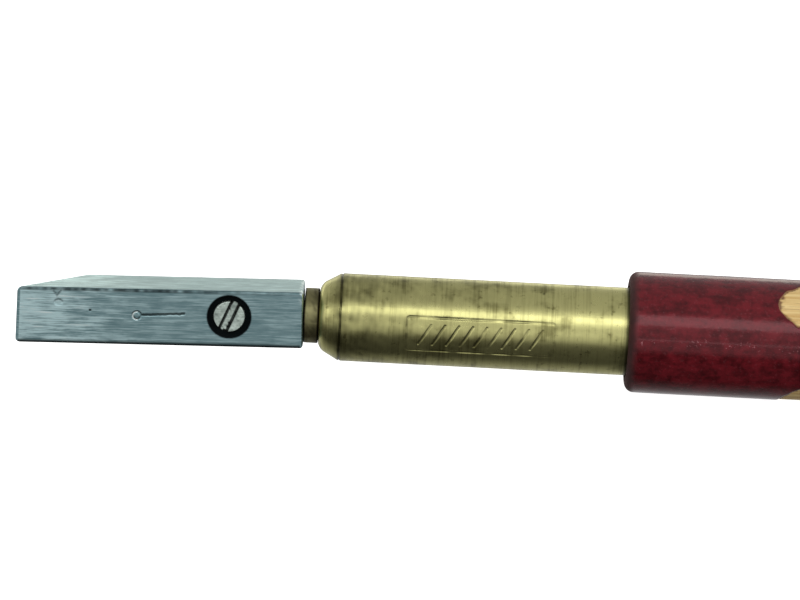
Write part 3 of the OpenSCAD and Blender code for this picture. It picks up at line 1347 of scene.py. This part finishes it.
@dataclass
class Barrel:
    """The turned brass barrel, with its rounded nose, a fine groove and a plain stamped panel."""

    nose: float
    end: float
    mouth: float
    shown: float = 30.05 * MM
    radius: float = 4.6 * MM
    bore_r: float = 2.35 * MM
    cavity_r: float = 3.625 * MM
    bore_length: float = 5.0 * MM
    face_r: float = 2.9 * MM
    nose_round: float = 1.4 * MM
    nose_from: float = 15.7
    nose_cone: float = 29.5
    lip: float = 0.12 * MM
    edge_step: float = 0.03 * MM
    groove_w: float = 0.24 * MM
    groove_depth: float = 0.08 * MM
    panel_x: float = -48.3 * MM
    panel_up: float = -0.30 * MM
    panel_half: Pair = (7.7 * MM, 1.85 * MM)
    panel_corner: float = 0.35 * MM
    stroke_pitch: float = 1.45 * MM
    stroke_tall: float = 1.05 * MM
    stroke_slant: float = 0.6
    strokes: int = 4
    stamp_depth: float = 0.085 * MM
    nick_x: float = -41.92 * MM
    nick_angle: float = math.radians(65.0)
    nick_depth: float = 0.04 * MM
    dull_from: float = -36.0 * MM
    dull_middle: float = -54.0 * MM
    dull_to: float = -64.5 * MM
    nose_clean: Pair = (-64.0 * MM, -62.9 * MM)

    def shoulder(self) -> float:
        """Where the nose's cone meets the groove."""
        return self.mouth - self.shown

    def outline(self) -> Array:
        """The outer outline from the bore's lip to the barrel's end.

        Returns:
            The outline, as (station, radius) rows.
        """
        start, shoulder = math.radians(self.nose_from), self.shoulder()
        centre_x = self.nose + self.nose_round * math.cos(start)
        centre_r = self.face_r - self.nose_round * math.sin(start)
        bow = arc((centre_x, centre_r), self.nose_round, self.nose_from, 90.0 - self.nose_cone, 16)
        corner = self.radius - self.edge_step
        share = np.linspace(0.0, 1.0, 15)[1:, None]
        dip = np.linspace(0.0, 1.0, 9)[1:]
        groove_r = corner + self.edge_step * dip - self.groove_depth * np.sin(math.pi * dip) ** 0.7
        left = self.panel_x - self.panel_half[0] - 0.3 * MM
        right = self.panel_x + self.panel_half[0] + 0.3 * MM
        begin = shoulder + self.groove_w + 0.05 * MM
        plain = spaced((begin, left, 60), (left, right, 300), (right, self.end, 90))
        return np.concatenate([
            arc((self.nose + self.lip, self.bore_r + self.lip), self.lip, -90.0, 0.0, 6),
            bow,
            bow[-1] + share * (np.array([shoulder, corner]) - bow[-1]),
            np.column_stack([shoulder + dip * self.groove_w, groove_r]),
            np.column_stack([plain, np.full(len(plain), self.radius)]),
        ])

    def stamp(self, x: Array, around: Array) -> Array:
        """The stamped panel: a frame with slanted strokes in it, faint where it is worn.

        Args:
            x: place along the barrel of each point.
            around: place round the barrel of each point, in metres from its near side, upwards.

        Returns:
            How deep the stamp is at each point, from 0 to 1.
        """
        u, v = x - self.panel_x, around - self.panel_up
        half_w, half_h = self.panel_half
        firm, soft = 0.07 * MM, 0.17 * MM
        tall, slant = self.stroke_tall, self.stroke_slant * self.stroke_tall
        depth = smoothstep(soft, firm, box_outline(u, v, self.panel_half, self.panel_corner))
        for number in range(-self.strokes, self.strokes + 1):
            middle = number * self.stroke_pitch
            away = capsule(u, v, (middle - slant, -tall), (middle + slant, tall))
            depth = np.maximum(depth, smoothstep(soft, firm, away))
        worn = 0.72 + 0.35 * mottle(u, v, 61, 9.0 * MM, 1.2 * MM)
        worn = np.clip(worn - 0.25 * smoothstep(2.0 * MM, 8.0 * MM, u), 0.15, 1.0)
        return depth * worn * (np.abs(v) < half_h + MM) * (np.abs(u) < half_w + MM)

    def dullness(self, x: Array, around: Array) -> Array:
        """How the brass darkens towards its nose, in patches.

        Args:
            x: place along the barrel of each point.
            around: place round the barrel of each point, in metres.

        Returns:
            How dark each point is.
        """
        far = 0.28 * smoothstep(self.dull_middle, self.dull_to, x)
        near = 0.17 * smoothstep(self.dull_from, self.dull_middle, x)
        kept = 0.35 + 0.65 * smoothstep(*self.nose_clean, x)
        return (far + near) * kept * (1.0 + 0.3 * mottle(x, around, 75, 4.0 * MM, 0.7 * MM))

    def build(self, finish: bpy.types.Material) -> bpy.types.Object:
        """Turns the barrel's outline about the axis as a closed wall, and presses the panel into it.

        Args:
            finish: its material.

        Returns:
            The piece.
        """
        cavity = self.nose + self.bore_length
        inside = [
            [self.end, self.cavity_r], [cavity, self.cavity_r], [cavity, self.bore_r],
            [self.nose + self.lip, self.bore_r],
        ]
        outline = np.concatenate([self.outline(), inside])
        fine = math.radians(30.0)
        angles = spaced((-fine, fine, 100), (fine, TURN - fine, 80))[:-1]
        x = outline[:, :1] + 0.0 * angles
        radius = outline[:, 1:] + 0.0 * angles
        arcs, facing = angles * self.radius, signed(angles)
        skin = radius > self.cavity_r + 0.3 * MM
        turning = ripple(outline[:, :1], 71, 1.4 * MM, 0.16 * MM, waves=12)
        wobble = mottle(x, arcs, 73, 16.0 * MM, 4.0 * MM)
        stamp = self.stamp(x, facing * self.radius)
        nick_away = np.hypot(x - self.nick_x, (facing - self.nick_angle) * self.radius)
        nick = smoothstep(0.22 * MM, 0.08 * MM, nick_away)
        radius = radius - skin * MM * (0.0012 * (turning + 1.6) + 0.004 * (wobble + 1.3))
        radius = radius - self.stamp_depth * stamp - self.nick_depth * nick

        middle = self.shoulder() + self.groove_w / 2
        # Painted shade in the fine groove, at the nose's lip by the neck, and where the barrel enters the
        # handle.
        groove = smoothstep(0.9, 0.25, np.abs(outline[:, :1] - middle) / self.groove_w)
        lip = smoothstep(0.35 * MM, 0.05 * MM, x - self.nose) * smoothstep(3.1 * MM, 2.8 * MM, radius)
        mouth = smoothstep(0.50 * MM, 0.10 * MM, np.abs(x - self.mouth))
        grime_and_shade = self.dullness(x, arcs) * skin + 0.42 * stamp + 0.75 * nick
        grime_and_shade = np.clip(grime_and_shade + 0.42 * groove + 0.95 * lip + 0.85 * mouth, 0.0, 0.95)
        points = revolve(x, radius, angles)
        piece = make_piece("brass_barrel", points, grid_faces(*x.shape, around=True), {"grime_and_shade": grime_and_shade})
        return dress(piece, Body.HANDLE, Slot.BARREL, finish, "barrel")


@dataclass(frozen=True)
class Chip:
    """A patch where the lacquer has chipped off: an oval with an uneven edge."""

    x: float
    angle: float
    half_length: float
    half_angle: float
    seed: int

    def inside(self, x: Array, angle: Array) -> Array:
        """How far inside the patch each point is: 1 in its middle, 0 on its edge, negative outside.

        Args:
            x: place along the handle.
            angle: angle round it, in radians, from -pi to pi.

        Returns:
            The measure, made uneven by noise.
        """
        off = np.angle(np.exp(1j * (angle - self.angle)))
        ragged = 0.018 * mottle(x, angle * HANDLE_RADIUS, self.seed, 4.0 * MM, 0.9 * MM)
        return 1.0 - np.hypot((x - self.x) / self.half_length, off / self.half_angle) + ragged


@dataclass
class Handle:
    """The turned wooden handle with its socket for the barrel, lacquered red and chipped."""

    mouth: float
    end: float
    barrel_end: float
    radius: float = HANDLE_RADIUS
    socket_r: float = 4.70 * MM
    front_edge: float = 1.0 * MM
    grip_end: float = 32.0 * MM
    end_r: float = 5.2 * MM
    coat: float = 0.11 * MM
    fine_from: float = -17.9 * MM
    fine_to: float = -3.9 * MM
    scuff_and_glint_angle: float = math.radians(6.0)
    scuff_and_glint_firm: float = math.radians(0.8)
    scuff_and_glint_soft: float = math.radians(4.2)
    chips: tuple[Chip, ...] = (
        Chip(-11.0 * MM, math.radians(50.5), 6.6 * MM, math.radians(33.0), 81),
        Chip(-11.6 * MM, math.radians(-78.0), 5.5 * MM, math.radians(50.0), 82),
    )

    def socket(self) -> Array:
        """The outline of the barrel's socket, out to the mouth.

        Returns:
            The outline, as (station, radius) rows.
        """
        mouth, r = self.mouth, self.socket_r
        return np.array([
            [self.barrel_end, 0.0],
            [self.barrel_end, r],
            [mouth + 1.0 * MM, r],
            [mouth + 0.35 * MM, r + 0.02 * MM],
            [mouth + 0.06 * MM, r + 0.12 * MM],
            [mouth, r + 0.24 * MM],
        ])

    def outline(self) -> Array:
        """The outline from the mouth's rounded lip back to the rounded end.

        The grip is straight, the taper follows 0.35 t + 0.65 t^2, and the end is a quarter ellipse.

        Returns:
            The outline, as (station, radius) rows.
        """
        begin = self.mouth + self.front_edge
        lip = arc((begin, self.radius - self.front_edge), self.front_edge, 0.0, 90.0, 12)
        stretches = (begin, self.fine_from, 40), (self.fine_from, self.fine_to, 134)
        grip = spaced(*stretches, (self.fine_to, self.grip_end, 34))[1:]
        round_length = 0.8 * self.end_r
        taper_end = self.end - round_length
        t = np.linspace(0.0, 1.0, 26)[1:]
        taper_x = self.grip_end + t * (taper_end - self.grip_end)
        taper_r = self.radius + (self.end_r - self.radius) * (0.35 * t + 0.65 * t * t)
        bow = np.radians(np.linspace(0.0, 90.0, 24))[1:]
        return np.concatenate([
            lip,
            np.column_stack([grip, np.full(len(grip), self.radius)]),
            np.column_stack([taper_x, taper_r]),
            np.column_stack([taper_end + round_length * np.sin(bow), self.end_r * np.cos(bow)]),
        ])

    def scuff_and_glint(self, x: Array, facing: Array) -> Array:
        """The scuffed line along the handle's near side, in patches, painted with glints.

        Args:
            x: place along the handle of each point.
            facing: angle round it, in radians, from -pi to pi.

        Returns:
            How strongly each point is scuffed and painted with glints, from 0 to 1.
        """
        off = facing - self.scuff_and_glint_angle - 0.03 * ripple(x, 88, 12.0 * MM, 3.0 * MM)
        patchy = np.clip(0.6 + 0.6 * ripple(x, 89, 9.0 * MM, 1.5 * MM), 0.0, 1.0)
        patchy = patchy * smoothstep(-3.0 * MM, -12.0 * MM, x)
        return smoothstep(self.scuff_and_glint_soft, self.scuff_and_glint_firm, np.abs(off)) * patchy

    def build(self, finish: bpy.types.Material) -> bpy.types.Object:
        """Turns the handle's outline about the axis and sinks the chips to the wood.

        Args:
            finish: its material.

        Returns:
            The piece.
        """
        socket = self.socket()
        outline = np.concatenate([socket, self.outline()])
        angles = full_circle(330)
        facing = signed(angles)
        x = outline[:, :1] + 0.0 * angles
        radius = outline[:, 1:] + 0.0 * angles
        outside = np.arange(len(outline))[:, None] >= len(socket)
        skin = outside * smoothstep(0.0, 2.0 * MM, radius)
        sway = mottle(x, self.radius * np.sin(angles), 85, 30.0 * MM, 6.0 * MM)
        lumps = mottle(x, self.radius * np.cos(angles), 86, 2.2 * MM, 0.8 * MM)
        radius = radius - skin * MM * (0.012 * (sway + 1.6) + 0.0025 * (lumps + 2.0))

        deepest = np.maximum.reduce([chip.inside(x, facing) for chip in self.chips])
        bare = smoothstep(-0.008, 0.022, deepest) * outside
        ragged = 0.02 * mottle(x, angles * self.radius, 87, 1.5 * MM, 0.4 * MM)
        rim = smoothstep(0.06, 0.0, deepest + ragged) * bare
        radius = radius - self.coat * bare
        # Painted shadow on the handle's lip where the barrel enters it, and painted shade inside the
        # socket.
        mouth = smoothstep(self.mouth + 1.15 * MM, self.mouth + 0.25 * MM, x)
        grime_and_shade = np.where(outside, 0.85 * mouth, 1.0)
        marks = {"chip": bare, "rim": rim, "grime_and_shade": grime_and_shade, "scuff_and_glint": self.scuff_and_glint(x, facing) * outside}
        points = revolve(x, radius, angles)
        piece = make_piece("lacquered_handle", points, grid_faces(*x.shape, around=True), marks)
        return dress(piece, Body.HANDLE, Slot.HANDLE, finish, "handle")


@dataclass
class InnerWorks:
    """The small parts hidden in the barrel and the head, which keep their CAD shapes."""

    steel: tuple[str, ...] = ("thrust_washer", "spindle_nut", "stop_pin", "spring_washer", "tang")
    brass: tuple[str, ...] = ("barrel_plug", "clamp_pad")

    def dress(self, steel: bpy.types.Material, brass: bpy.types.Material) -> None:
        """Gives each part its material.

        Args:
            steel: material of the steel parts.
            brass: material of the brass parts.
        """
        for names, material in ((self.steel, steel), (self.brass, brass)):
            for name in names:
                coat(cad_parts[name], material)
                LOG.info("%s keeps its CAD shape, in %s", name, material.name)


# ---------------------------------------------------------------------------------------------------
# The studio
# ---------------------------------------------------------------------------------------------------


@dataclass(frozen=True)
class SoftBox:
    """A rectangular light that faces the tool.

    Its rise is the angle above the near horizon, in degrees, and over 90 is behind the tool. Its power
    is pi times its area times its glow.
    """

    name: str
    rise: float
    reach: float
    size: Pair
    glow: float
    tint: Colour = (1.0, 1.0, 1.0)

    def add(self, x: float) -> None:
        """Adds the light at its angle round the X axis.

        Args:
            x: place along the tool that it is centred on.
        """
        data = bpy.data.lights.new(self.name, "AREA")
        data.shape = "RECTANGLE"
        data.size, data.size_y = self.size
        data.color = self.tint
        data.energy = self.glow * math.pi * self.size[0] * self.size[1]
        light = bpy.data.objects.new(self.name, data)
        angle = math.radians(self.rise)
        light.location = (x, -self.reach * math.cos(angle), self.reach * math.sin(angle))
        light.rotation_euler = (QUARTER - angle, 0.0, 0.0)
        bpy.context.scene.collection.objects.link(light)


@dataclass
class Studio:
    """A pale floor, soft boxes in front and behind, a grey room and the camera.

    The room's grey is given at angles round the tool's length: 0 is the near horizon, 90 is overhead
    and 180 is behind.
    """

    floor_z: float
    target: Point = (-56.84 * MM, 0.0, 2.14 * MM)
    azimuth: float = math.radians(0.194)
    elevation: float = math.radians(14.262)
    roll: float = math.radians(2.896)
    distance: float = 449.3 * MM
    lens: float = 193.5
    sensor: float = 36.0
    floor_half: float = 3.0
    boxes: tuple[SoftBox, ...] = (
        SoftBox("key_box", 38.0, 0.60, (2.20, 0.20), 1.70),
        SoftBox("near_strip", 1.0, 0.60, (2.20, 0.02), 1.6),
        SoftBox("back_panel", 163.0, 0.90, (2.20, 0.24), 0.80, (1.0, 0.98, 0.82)),
    )
    room: tuple[Pair, ...] = (
        (-180, 0.50), (-142, 0.55), (-112, 0.28), (-84, 0.04), (-56, 0.08), (-26, 0.07), (-17, 0.60),
        (-10, 0.64), (6, 0.58), (18, 0.72), (52, 0.52), (72, 0.45), (100, 0.44), (128, 0.42),
        (150, 0.46), (180, 0.50),
    )

    def add_camera(self) -> None:
        """Adds the camera: it looks at the target from the stated angles, turned by its roll."""
        a, e = self.azimuth, self.elevation
        back = np.array([math.sin(a) * math.cos(e), -math.cos(a) * math.cos(e), math.sin(e)])
        right = np.cross(-back, (0.0, 0.0, 1.0))
        right /= np.linalg.norm(right)
        up = np.cross(right, -back)
        c, s = math.cos(self.roll), math.sin(self.roll)
        matrix = np.eye(4)
        matrix[:3, :3] = np.column_stack([c * right + s * up, c * up - s * right, back])
        matrix[:3, 3] = np.array(self.target) + back * self.distance
        data = bpy.data.cameras.new("camera")
        data.lens = self.lens
        data.sensor_width = self.sensor
        camera = bpy.data.objects.new("camera", data)
        camera.matrix_world = Matrix(matrix.tolist())
        bpy.context.scene.collection.objects.link(camera)
        bpy.context.scene.camera = camera

    def add_floor(self) -> None:
        """Adds the floor: a wide, faintly glowing white sheet under the tool."""
        side = np.linspace(-self.floor_half, self.floor_half, 9)
        u, v = np.meshgrid(side, side, indexing="ij")
        points = np.stack([u, v, np.full(u.shape, self.floor_z)], axis=-1)
        mesh = bpy.data.meshes.new("floor")
        faces = grid_faces(*u.shape, around=False)
        mesh.from_pydata(points.reshape(-1, 3).tolist(), [], faces.tolist())
        floor = bpy.data.objects.new("floor", mesh)
        bpy.context.scene.collection.objects.link(floor)
        coat(floor, WhitePaper().build())
        floor.visible_glossy = False
        floor.visible_diffuse = False

    def add_room(self) -> None:
        """Adds the room: a grey that changes with the angle round the tool's length."""
        world = bpy.data.worlds.new("room")
        g = Graph(world)
        way = g.wire("ShaderNodeTexCoord", out="Generated")
        parts = g.node("ShaderNodeSeparateXYZ", {0: way})
        ahead, up = Wire(g, parts.outputs[1]), Wire(g, parts.outputs[2])
        angle = g.wire("ShaderNodeMath", {0: up, 1: -ahead}, operation="ARCTAN2")
        stops = [((degrees + 180) / 360, level) for degrees, level in self.room]
        grey = g.wire("ShaderNodeValToRGB", {0: angle / TURN + 0.5}, stops=stops)
        sky = g.wire("ShaderNodeBackground", {"Color": grey, "Strength": 1.0})
        g.node("ShaderNodeOutputWorld", {"Surface": sky})
        bpy.context.scene.world = world

    def build(self) -> None:
        """Builds the camera, the floor, the lights and the room."""
        self.add_camera()
        self.add_floor()
        for box in self.boxes:
            box.add(self.target[0])
        self.add_room()
        bpy.context.scene.view_settings.view_transform = "Standard"
        LOG.info("studio built")


# ---------------------------------------------------------------------------------------------------
# The whole tool
# ---------------------------------------------------------------------------------------------------


@dataclass(frozen=True)
class Joints:
    """The gaps and lengths that set the head, the neck and the screw against the barrel."""

    nose_gap: float = 0.06 * MM
    neck: float = 1.48 * MM
    head_gap: float = 0.07 * MM
    screw_clear: float = 0.03 * MM


def build_head(joints: Joints) -> None:
    """Builds the head with its stone and its screw, and the spindle that it swings on.

    Args:
        joints: the gaps between them.
    """
    spindle_low, spindle_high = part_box("spindle")
    screw_low, screw_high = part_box("clamp_screw")
    screw_x = (screw_low[0] + screw_high[0]) / 2
    screw_z = (screw_low[2] + screw_high[2]) / 2
    neck_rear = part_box("barrel")[0][0] - joints.nose_gap
    neck_front = neck_rear - joints.neck

    head = Head(neck_front - joints.head_gap, screw_x, screw_z)
    head.build(BrushedHeadSteel(lean=head.lean).build())
    copper = TurnedBrass(name="stud_copper", clean=(0.66, 0.38, 0.24), tarnish=(0.30, 0.15, 0.09))
    stone = Stone(head)
    stone.build_stud(copper.build())
    stone.build_solder(Solder().build())
    stone.build_diamond(RoughDiamond().build())
    screw = ClampScrew(screw_x, screw_z, screw_low[1], screw_high[1] - joints.screw_clear)
    screw.build(TurnedSteel(name="screw_steel").build())

    # A darker copy of the barrel's brass: painted shade on the neck, which the head and the barrel shade.
    shaded_brass = TurnedBrass(
        name="spindle_brass",
        clean=(0.26, 0.245, 0.12),
        tarnish=(0.13, 0.095, 0.05),
        spots=0.7,
        roughness=0.38,
    ).build()
    Spindle(spindle_low[0], spindle_high[0], neck_front, neck_rear).build(shaded_brass)
    dark_steel = TurnedSteel(name="hardware_steel", bright=(0.42, 0.43, 0.43), dull=(0.22, 0.22, 0.22))
    InnerWorks().dress(dark_steel.build(), shaded_brass)


def build_grip() -> None:
    """Builds the barrel and the handle that it is set in."""
    handle_low, handle_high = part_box("handle")
    barrel_low, barrel_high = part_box("barrel")
    barrel = Barrel(barrel_low[0], barrel_high[0], handle_low[0])
    barrel.build(TurnedBrass(name="barrel_brass").build())
    handle = Handle(handle_low[0], handle_high[0], barrel_high[0])
    handle.build(ChippedLacquer().build())


def main() -> None:
    logging.basicConfig(level=logging.INFO, format="%(name)s: %(message)s")
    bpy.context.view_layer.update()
    build_head(Joints())
    build_grip()
    Studio(floor_z=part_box("handle")[0][2]).build()


if __name__ == "__main__":
    main()
